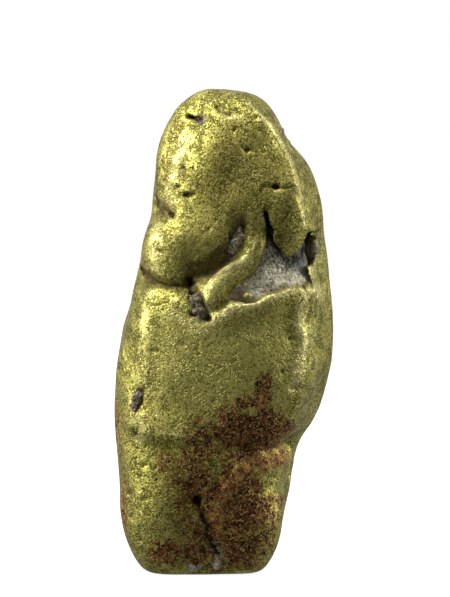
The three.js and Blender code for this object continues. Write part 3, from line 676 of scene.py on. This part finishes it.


def patch(place, across, up, radii, strength, lean=0, side=front, lift=0.0):
    ratio, _ = oval(place, side(across, up, lift), radii, lean)
    return strength * (1 - smooth_share((ratio - 0.35) / 0.9))


def patches(place, rows):
    return np.max([patch(place, *row) for row in rows], axis=0)


def aside_of(place, points):
    """Distance to a line of the front view, far off behind."""
    aside = rope((place[0], 0 * place[1], place[2]), [(x, 0, z) for x, z in points], [0.0] * len(points))
    return np.where(place[1] < 0, aside, 100.0)


def near_line(place, points, width):
    """1 on a line of the front view, fading to 0 at the width; nothing behind."""
    return 1 - smooth_share(aside_of(place, points) / width)


def near_lines(place, rows):
    return np.max([strength * near_line(place, *line) for *line, strength in rows], axis=0)


LINE_SLOPE = 0.4  # how far the paint of a wrinkle or crack reaches to both sides
SLOPE_CUT = (0.74, 0.88)  # the material fades it out between these shares, before they are made ragged


def paint(mesh, **shares):
    for name, values in shares.items():
        layer = mesh.attributes.new(name, "FLOAT", "POINT")
        layer.data.foreach_set("value", np.clip(values, 0, 1).astype(np.float32))


def mesh_places(mesh):
    flat = np.empty(len(mesh.vertices) * 3, np.float32)
    mesh.vertices.foreach_get("co", flat)
    return flat.reshape(-1, 3).astype(float) / MM


def paint_nugget(mesh, nugget):
    points = mesh_places(mesh)
    place = points.T
    relief = nugget.sample(nugget.soft_copy(0.8), points)
    fine = nugget.sample(nugget.soft_copy(0.35), points)
    depth = -nugget.sample(nugget.uncut, points)
    notch, rim = patches(place, NOTCH), near_line(place, RIM, 0.35)
    ember_band = near_line(place, EMBER_LINE, 0.75)
    # A slope to both sides of a line, which the material cuts off to a thin ragged one.
    wrinkle, crack = (1 - np.min([aside_of(place, line) for line in lines], axis=0) / LINE_SLOPE
                      for lines in (WRINKLES, CRACKS))
    paint(
        mesh,
        hollow=np.maximum(smooth_share(-relief / 0.28), 0.6 * smooth_share(-fine / 0.1)),
        ridge=np.maximum(smooth_share((relief - 0.06) / 0.22), smooth_share((fine - 0.03) / 0.08)),
        # Worn metal and painted highlights along the bright lines.
        edge=near_lines(place, WEAR_AND_HIGHLIGHT_LINES),
        # Duller metal, darkened with painted shade.
        dull=np.maximum(patches(place, DULL_AND_SHADE), near_lines(place, DULL_AND_SHADE_LINES)),
        satin=patches(place, SATIN),
        pit=smooth_share((depth - 0.05) / 0.22) * (1 - 0.8 * notch) * (1 - 0.9 * rim),
        # Painted black shade deep inside the hollow, kept off the notch and the rim.
        depth=smooth_share((depth - 0.3) / 0.5) * (1 - 0.95 * notch) * (1 - 0.8 * rim),
        rust=np.maximum(patches(place, RUST), 0.75 * ember_band) * (1 - patches(place, BARE)),
        ember=np.maximum(patches(place, EMBER), 0.8 * ember_band),
        grime=np.maximum(patches(place, STAINS), near_lines(place, STAIN_LINES)),
        grey=patches(place, GREY), wrinkle=wrinkle, crack=crack,
    )


# Materials

class Shader:
    """A material and the node chains that feed it; coordinates are in the drawing's millimetres."""

    def __init__(self, name, constants):
        self.material = bpy.data.materials.new(name)
        self.material.use_nodes = True
        self.nodes, self.links = self.material.node_tree.nodes, self.material.node_tree.links
        self.surface = self.nodes["Principled BSDF"]
        self.feed(self.surface, constants)
        place = self.node("TexCoord", {}).outputs["Object"]
        self.place = self.node("VectorMath", {0: place, "Scale": 1 / MM}, operation="SCALE").outputs[0]

    def feed(self, node, sources):
        """Link or set sockets of a node, given by name or number."""
        for key, source in sources.items():
            socket = node.inputs[key]
            if isinstance(source, bpy.types.NodeSocket):
                self.links.new(source, socket)
            else:
                socket.default_value = (*source, 1.0) if socket.type == "RGBA" else source

    def node(self, kind, sources, **settings):
        node = self.nodes.new("ShaderNode" + kind)
        for name, value in settings.items():
            setattr(node, name, value)
        self.feed(node, sources)
        return node

    def noise(self, size, detail=2, roughness=0.5, shift=0, squash=(1, 1, 1)):
        """Noise with lumps of about the size, in millimetres; a squash below 1 draws them out."""
        place = self.node("VectorMath", {0: self.place, 1: squash}, operation="MULTIPLY").outputs[0]
        sources = {"Vector": place, "Scale": 1 / size, "Detail": detail, "Roughness": roughness, "W": shift}
        return self.node("TexNoise", sources, noise_dimensions="4D").outputs["Fac"]

    def cells(self, size, output="Distance"):
        return self.node("TexVoronoi", {"Vector": self.place, "Scale": 1 / size}).outputs[output]

    def lines(self, size, width, shift):
        """Thin wandering lines, 1 in their middle; the width is a share of the noise's range."""
        apart = self.math("ABSOLUTE", self.minus(self.noise(size, 3, 0.6, shift), 0.5), 0)
        return self.step(apart, 0, width, 1, 0)

    def ragged(self, name, wander, breaks):
        """A thin ragged mark out of a painted slope; larger breaks tear it into shorter bits."""
        shift = self.times(self.minus(wander, 0.5), breaks)
        return self.step(self.plus(self.painted(name), shift), *SLOPE_CUT)

    def step(self, source, low, high, bottom=0, top=1):
        """Goes smoothly from bottom to top as the source goes from low to high."""
        sources = {"Value": source, "From Min": low, "From Max": high, "To Min": bottom, "To Max": top}
        return self.node("MapRange", sources, interpolation_type="SMOOTHSTEP").outputs["Result"]

    def math(self, operation, first, *others):
        """The operation on the first two sources, then on what that gives and each further one."""
        for other in others:
            first = self.node("Math", {0: first, 1: other}, operation=operation).outputs[0]
        return first

    times = partialmethod(math, "MULTIPLY")
    plus = partialmethod(math, "ADD")
    minus = partialmethod(math, "SUBTRACT")
    most = partialmethod(math, "MAXIMUM")

    def mix(self, share, a, b, kind="RGBA"):
        return self.node("Mix", {"Factor": share, "A": a, "B": b}, data_type=kind).outputs["Result"]

    def coat(self, share, colour):
        self.colour = self.mix(share, self.colour, colour)

    def painted(self, name):
        return self.node("Attribute", {}, attribute_name=name).outputs["Fac"]

    def bump(self, height, depth, strength=1, under=None):
        """The normal of a relief of so many millimetres, laid over the one under it."""
        sources = {"Height": height, "Distance": depth * MM, "Strength": strength}
        if under is not None:
            sources["Normal"] = under
        return self.node("Bump", sources).outputs["Normal"]

    def finish(self, sources):
        self.feed(self.surface, {"Base Color": self.colour, **sources})
        return self.material


def gold_material():
    s = Shader("gold", {"Specular IOR Level": 0.2})
    blotch = s.noise(2.2, 3, 0.55)
    mottle = s.noise(0.5, 3, 0.6, 3)
    crumbs = s.minus(s.cells(0.1, "Color"), 0.5)
    grit = s.plus(s.noise(0.105, 2, 0.8, 7), s.times(crumbs, 0.14))
    wrinkles = s.most(s.lines(0.45, 0.065, 13), s.times(s.lines(0.22, 0.085, 17), 0.9))
    wrinkles = s.times(wrinkles, s.step(s.noise(0.8, 2, 0.6, 15), 0.42, 0.56, 0.1, 1))
    speck = s.cells(0.27)
    speck_kind = s.noise(0.6, 1, 0.5, 11)

    hollow, ridge, edge, dull, satin, pit = map(s.painted, "hollow ridge edge dull satin pit".split())
    depth, grime, grey, rust, ember = map(s.painted, "depth grime grey rust ember".split())
    rougher = s.step(satin, 0, 1, 1, 0.8)
    wander = s.noise(0.16, 2, 0.6, 9)
    wrinkles = s.most(s.times(wrinkles, rougher), s.ragged("wrinkle", wander, 0.5))
    cracks = s.ragged("crack", wander, 1.1)

    # Worn metal: greener and duller in places, brighter on what stands out, with painted highlights along
    # edges and crests.
    s.colour = s.mix(s.step(blotch, 0.38, 0.62), (0.5, 0.475, 0.08), (0.68, 0.6, 0.125))
    s.coat(s.step(mottle, 0.38, 0.7, 0, 0.25), (0.8, 0.7, 0.2))
    s.coat(s.step(mottle, 0.46, 0.26, 0, 0.25), (0.28, 0.26, 0.05))
    s.coat(s.times(satin, 0.75), (0.92, 0.85, 0.23))
    s.coat(s.times(s.step(grit, 0.52, 0.64, 0, 0.65), rougher), (1, 0.92, 0.42))
    wear_and_highlight = s.most(s.times(ridge, 0.6), s.times(edge, s.step(grit, 0.38, 0.52, 0.35, 1)))
    wear_and_highlight = s.times(wear_and_highlight, s.minus(1, dull))
    s.coat(wear_and_highlight, (1, 0.9, 0.38))

    # Dark specks and wrinkles, the film that stays in every dip, and painted shade on the duller patches.
    dots = s.times(s.step(speck, 0.3, 0.16), s.step(speck_kind, 0.45, 0.55))
    dirt = s.most(s.times(s.most(dots, s.step(grit, 0.49, 0.4)), rougher), wrinkles)
    dirt = s.times(dirt, s.step(wear_and_highlight, 0, 0.8, 0.9, 0.45))
    s.coat(dirt, (0.08, 0.065, 0.015))
    film = s.times(s.most(hollow, dull), s.step(mottle, 0.25, 0.6, 0.5, 0.9))
    s.coat(film, (0.13, 0.112, 0.028))

    # Brown grime in the creases and inside the pits.
    grime_share = s.most(s.times(grime, s.step(grit, 0.36, 0.54, 0.15, 1)), pit)
    grime_colour = s.mix(s.step(mottle, 0.42, 0.6), (0.045, 0.028, 0.014), (0.15, 0.085, 0.03))
    s.coat(grime_share, grime_colour)

    # Grey mineral film.
    grey_share = s.times(grey, s.step(grit, 0.4, 0.5))
    grey_tone = s.step(s.noise(0.13, 2, 0.7, 19), 0.43, 0.57)
    grey_colour = s.mix(grey_tone, (0.06, 0.052, 0.042), (0.58, 0.52, 0.42))
    s.coat(grey_share, grey_colour)

    # Iron stain: a thin brown film that breaks up into flecks with bare metal between them.
    flecks = s.plus(s.times(s.noise(0.42, 4, 0.78, 23), 1.6), s.times(s.noise(1.2, 2, 0.5, 25), 0.5))
    reach = s.plus(s.times(rust, 0.38), flecks)
    in_rust = s.step(rust, 0, 0.3)
    tint = s.times(s.step(reach, 1.02, 1.3, 0, 0.75), in_rust)
    s.coat(tint, (0.25, 0.105, 0.02))
    uncovered = s.step(s.minus(grit, s.times(ember, 0.1)), 0.575, 0.53)
    rust_share = s.times(s.step(reach, 1.18, 1.25), uncovered, in_rust)
    chips = s.minus(s.cells(0.13, "Color"), 0.5)
    rust_tone = s.plus(s.noise(0.34, 4, 0.8, 29), s.times(chips, 0.16))
    rust_colour = s.mix(s.step(rust_tone, 0.42, 0.56), (0.01, 0.004, 0.002), (0.23, 0.068, 0.014))
    rust_colour = s.mix(s.step(rust_tone, 0.59, 0.67), rust_colour, (0.54, 0.3, 0.09))
    ember_share = s.times(ember, s.step(mottle, 0.36, 0.58, 0.25, 1))
    ember_colour = s.mix(s.step(rust_tone, 0.42, 0.6), (0.22, 0.07, 0.018), (0.82, 0.45, 0.12))
    rust_colour = s.mix(ember_share, rust_colour, ember_colour)
    s.coat(rust_share, rust_colour)
    s.coat(s.times(s.step(grit, 0.57, 0.62), in_rust, 0.8), (0.86, 0.64, 0.24))

    # Black in the hairline cracks, and painted black shade deep inside the hollow.
    black = s.most(depth, s.times(cracks, 0.9))
    s.coat(black, (0.016, 0.013, 0.009))

    # What covers the metal takes away its shine.
    stain = s.most(rust_share, s.times(tint, 0.6))
    cover = s.most(stain, grey_share, s.times(black, 0.9), s.times(grime_share, 0.7))
    metal = s.minus(1, s.times(cover, 0.9))
    rough = s.mix(s.most(cover, film), s.step(mottle, 0.3, 0.7, 0.47, 0.42), 0.66, "FLOAT")

    # Relief: soft dimples, wrinkles, pricks and the fine grain of worn metal.
    dimples = s.bump(s.noise(0.45, 2, 0.55, 31), 0.02, 0.7)
    creases = s.bump(s.step(s.most(wrinkles, cracks), 0, 1, 1, 0), 0.03, 0.7, dimples)
    pricks = s.bump(s.step(speck, 0.34, 0.1, 1, 0), 0.022, 0.6, creases)
    grain = s.bump(s.noise(0.09, 2, 0.6, 37), 0.034, 0.9, pricks)
    return s.finish({"Metallic": metal, "Roughness": rough, "Normal": grain})


def scaled(colour, share):
    return tuple(share * c for c in colour)


def quartz_material(name, dark, pale, warm, specks=0.7):
    """Sugary quartz: dark and pale grains, black specks, a warm film at the metal, and painted black shade.
    """
    s = Shader(name, {"Metallic": 0, "IOR": 1.54})
    near_lip = s.painted("near_lip")
    lumps = s.plus(s.noise(0.6, 3, 0.6, 41), s.times(near_lip, 0.3))
    grains = s.noise(0.11, 2, 0.75, 43)
    black = scaled(dark, 0.1)
    s.colour = s.mix(s.step(lumps, 0.44, 0.62), dark, pale)
    s.coat(s.step(grains, 0.5, 0.38, 0, specks), black)
    s.coat(s.step(grains, 0.55, 0.64, 0, 0.9), scaled(pale, 1.45))

    # Pale streaks with brown between them along the lip, and a cold grey deeper in.
    streaks = s.noise(0.15, 3, 0.65, 49, (0.25, 0.5, 1))
    streaky = s.step(near_lip, 0.35, 0.75)
    s.coat(s.times(streaky, s.step(streaks, 0.5, 0.6, 0, 0.8)), scaled(pale, 1.3))
    s.coat(s.times(streaky, s.step(streaks, 0.45, 0.38, 0, 0.7)), (0.2, 0.16, 0.1))
    cold = s.mix(grains, (0.02, 0.022, 0.025), (0.15, 0.17, 0.2))
    s.coat(s.times(s.painted("cold"), 0.8), cold)
    s.coat(s.times(s.painted("stained"), s.step(grains, 0.35, 0.55, 0.3, 1)), warm)
    # Painted shade: black where the quartz is marked as lying in shadow.
    s.coat(s.painted("shaded"), black)
    rough = s.step(grains, 0.35, 0.65, 0.7, 0.38)
    relief = s.bump(s.noise(0.11, 3, 0.6, 47), 0.06, 1, s.bump(s.cells(0.24), 0.1, 0.8))
    return s.finish({"Roughness": rough, "Normal": relief})


# Pieces

def add_piece(name, mesh, material):
    mesh.materials.append(material)
    piece = bpy.data.objects.new(name, mesh)
    scene.collection.objects.link(piece)
    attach(piece, "root")
    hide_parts(name.replace("_visual", ""))


def make_crevice_quartz():
    """The main quartz: near the skin at the lip, deeper higher up, and touching the gold all round."""
    block = Field((-0.3, -5.2, 15.2), (6.3, 0.2, 21), QUARTZ_VOXEL)
    block.start_with_body()
    _, (x, y, z) = block.places()
    rise = smooth_share((z - 16.8) / 1.8)
    recess = 0.17 + 0.52 * rise + 0.55 * smooth_share(z - 18.9)
    recess = recess + 0.1 * np.sin(2.9 * x + 1.3 * z) * np.sin(2.3 * z - 0.8 * x)
    rough = 0.1 * block.noise(0.55, 5) + 0.07 * block.noise(0.27, 6)
    body = np.maximum(block.base + recess + rough, hollow_wall(block.base, x, z) - 0.16)
    top = z - 20.3 + 0 * y
    innermost = np.maximum(-(block.base + HOLLOW_DEPTH + 0.1), y - HOLLOW_INNERMOST - 0.1)
    block.d = np.maximum(np.maximum(body, top), innermost)
    mesh = block.mesh("quartz_crevice_visual")
    place = mesh_places(mesh).T
    brown = patches(place, [(0.8, 16.3, (0.7, 1.2, 0.4), 1, 20, front, -0.4),
                            (1.2, 16.9, (0.4, 1.2, 0.5), 0.6, 0, front, -0.4)])
    lower_edge = near_line(place, [(1.3, 16.1), (2.6, 16.5), (3.6, 16.75), (4.8, 16.9)], 0.35)
    nose = [(2.6, 19.8), (2.95, 19.1), (3.45, 18.45), (3.8, 18), (4.3, 18.4), (4.7, 19), (4.9, 19.5)]
    paint(
        mesh,
        stained=np.maximum(brown, 0.35 * lower_edge),
        near_lip=1 - smooth_share((place[2] - 16.4 - 0.12 * place[0]) / 1.6),
        cold=patch(place, 4.4, 18.2, (0.8, 1.5, 1), 1, 0, front, -0.8),
        # Painted shadow under the overhanging nose, and painted shade high up in the crevice.
        shaded=np.maximum(near_line(place, nose, 0.42), smooth_share((place[2] - 19.5) / 0.6)),
    )
    return mesh


def make_grain(name, centre, radii, lean, shade, seed):
    """A rough grain set in a socket of the skin."""
    reach = max(radii) + 0.3
    low, high = (tuple(c + sign * reach for c in centre) for sign in (-1, 1))
    grain = Field(low, high, GRAIN_VOXEL)
    _, place = grain.places()
    shape = ellipsoid(place, centre, [r + 0.1 for r in radii], lean)
    grain.d = shape + 0.15 * grain.noise(0.24, seed) + 0.07 * grain.noise(0.12, seed + 1)
    mesh = grain.mesh(name)
    x, _, _ = mesh_places(mesh).T
    stained = 0.4 * smooth_share(0.5 + (x - centre[0]) / radii[0])
    paint(mesh, stained=stained, near_lip=0 * x, cold=0 * x, shaded=shade + 0 * x)
    return mesh


nugget_field = make_nugget_field()
nugget_mesh = nugget_field.mesh("gold_nugget_visual")
paint_nugget(nugget_mesh, nugget_field)
gold = gold_material()
add_piece("gold_nugget_visual", nugget_mesh, gold)

pale_quartz = quartz_material("quartz_pale", (0.44, 0.42, 0.28), (0.94, 0.88, 0.61), (0.5, 0.33, 0.17),
                              specks=0.95)
dark_quartz = quartz_material("quartz_dark", (0.13, 0.1, 0.055), (0.34, 0.28, 0.16), (0.22, 0.14, 0.06))
rosy_quartz = quartz_material("quartz_rosy", (0.28, 0.215, 0.14), (0.68, 0.56, 0.39), (0.36, 0.22, 0.12))
add_piece("quartz_crevice_visual", make_crevice_quartz(), pale_quartz)

# The small grains: centre, radii, lean, how much painted shade darkens each, and its material.
GRAINS = [
    ("quartz_pit", front(-1.42, 15.65, -0.46), (0.42, 0.36, 0.7), -24, 0.1, dark_quartz),
    ("quartz_groove", front(0.72, 19.4, -0.64), (0.32, 0.36, 0.7), 20, 0.0, pale_quartz),
    ("quartz_side", front(-4.95, 10.15, -0.3), (0.3, 0.3, 0.74), 17, 0.0, dark_quartz),
    ("quartz_seam", front(-0.34, 0.85, -0.32), (0.3, 0.3, 0.36), 0, 0.0, rosy_quartz),
    ("quartz_foot", front(-1.65, 0.62, -0.34), (0.6, 0.28, 0.26), 0, 0.0, pale_quartz),
]
for number, (name, *form, quartz) in enumerate(GRAINS):
    add_piece(name + "_visual", make_grain(name + "_visual", *form, 60 + 2 * number), quartz)


# Floor, light and camera

FLOOR_RADIUS = 260 * MM
BACKDROP_RADIUS = 900 * MM
PHOTO_SIZE = (450, 597)  # pixels
PIXEL = 0.0579 * MM  # what one pixel of the photograph spans on the nugget
FOOT_PIXEL = (224, 572)  # where the middle of the foot lies in it
CAMERA_DISTANCE = 450 * MM
CAMERA_HEIGHT_ANGLE = math.radians(4)


def plain_material(name, grey, glow):
    constants = {"Base Color": (grey, grey, grey), "Roughness": 0.9}
    return Shader(name, {**constants, "Emission Color": (1, 1, 1), "Emission Strength": glow}).material


def add_backdrop():
    bpy.ops.mesh.primitive_circle_add(vertices=96, radius=FLOOR_RADIUS, fill_type="NGON")
    floor = bpy.context.object
    floor.name = "floor"
    floor.data.materials.append(plain_material("floor", 0.45, 0.9))
    floor.visible_glossy = floor.visible_diffuse = False
    bpy.ops.mesh.primitive_uv_sphere_add(segments=64, ring_count=32, radius=BACKDROP_RADIUS)
    sky = bpy.context.object
    sky.name = "backdrop"
    sky.data.materials.append(plain_material("backdrop", 0.0, 1.0))
    for kind in ("diffuse", "glossy", "transmission", "volume_scatter", "shadow"):
        setattr(sky, "visible_" + kind, False)


def add_softbox(name, place, width, height, power):
    lamp = bpy.data.lights.new(name, "AREA")
    lamp.energy = power
    lamp.shape = "RECTANGLE"
    lamp.size, lamp.size_y = width * MM, height * MM
    softbox = bpy.data.objects.new(name, lamp)
    softbox.location = Vector(place) * MM
    softbox.rotation_mode = "QUATERNION"
    softbox.rotation_quaternion = (Vector((0, 0, 14 * MM)) - softbox.location).to_track_quat("-Z", "Y")
    scene.collection.objects.link(softbox)


def add_camera():
    camera = bpy.data.objects.new("camera", bpy.data.cameras.new("camera"))
    scene.collection.objects.link(camera)
    middle = [(PHOTO_SIZE[0] / 2 - FOOT_PIXEL[0]) * PIXEL, 0, (FOOT_PIXEL[1] - PHOTO_SIZE[1] / 2) * PIXEL]
    back_off = Vector((0, -math.cos(CAMERA_HEIGHT_ANGLE), math.sin(CAMERA_HEIGHT_ANGLE)))
    camera.location = Vector(middle) + back_off * CAMERA_DISTANCE
    camera.rotation_mode = "QUATERNION"
    camera.rotation_quaternion = (-back_off).to_track_quat("-Z", "Y")
    camera.data.sensor_width = 36
    camera.data.lens = 36 * CAMERA_DISTANCE / (PHOTO_SIZE[1] * PIXEL)
    camera.data.clip_start = 0.01
    scene.camera = camera


def add_room():
    """A soft white room, dim towards the front and below."""
    world = bpy.data.worlds.new("studio")
    scene.world = world
    world.use_nodes = True
    nodes, links = world.node_tree.nodes, world.node_tree.links
    split, share = nodes.new("ShaderNodeSeparateXYZ"), nodes.new("ShaderNodeMath")
    share.operation = "MULTIPLY"
    links.new(nodes.new("ShaderNodeTexCoord").outputs["Generated"], split.inputs[0])
    ramps = (("Y", -0.7, 0.6, 0.2, 0.5), ("Z", -0.6, 0.5, 0.62, 0.95))
    for slot, (axis, low, high, dim, bright) in enumerate(ramps):
        ramp = nodes.new("ShaderNodeMapRange")
        for name, value in (("From Min", low), ("From Max", high), ("To Min", dim), ("To Max", bright)):
            ramp.inputs[name].default_value = value
        links.new(split.outputs[axis], ramp.inputs["Value"])
        links.new(ramp.outputs["Result"], share.inputs[slot])
    links.new(share.outputs[0], nodes["Background"].inputs["Strength"])
    nodes["Background"].inputs["Color"].default_value = (1, 1, 1, 1)


scene.view_settings.view_transform = "Standard"
add_room()
add_backdrop()
add_softbox("left", (-225, -30, 115), 95, 180, 0.5)
add_softbox("right", (205, 25, 90), 45, 170, 0.22)
add_softbox("top", (-60, -20, 230), 110, 90, 0.32)
add_camera()

bpy.context.view_layer.update()
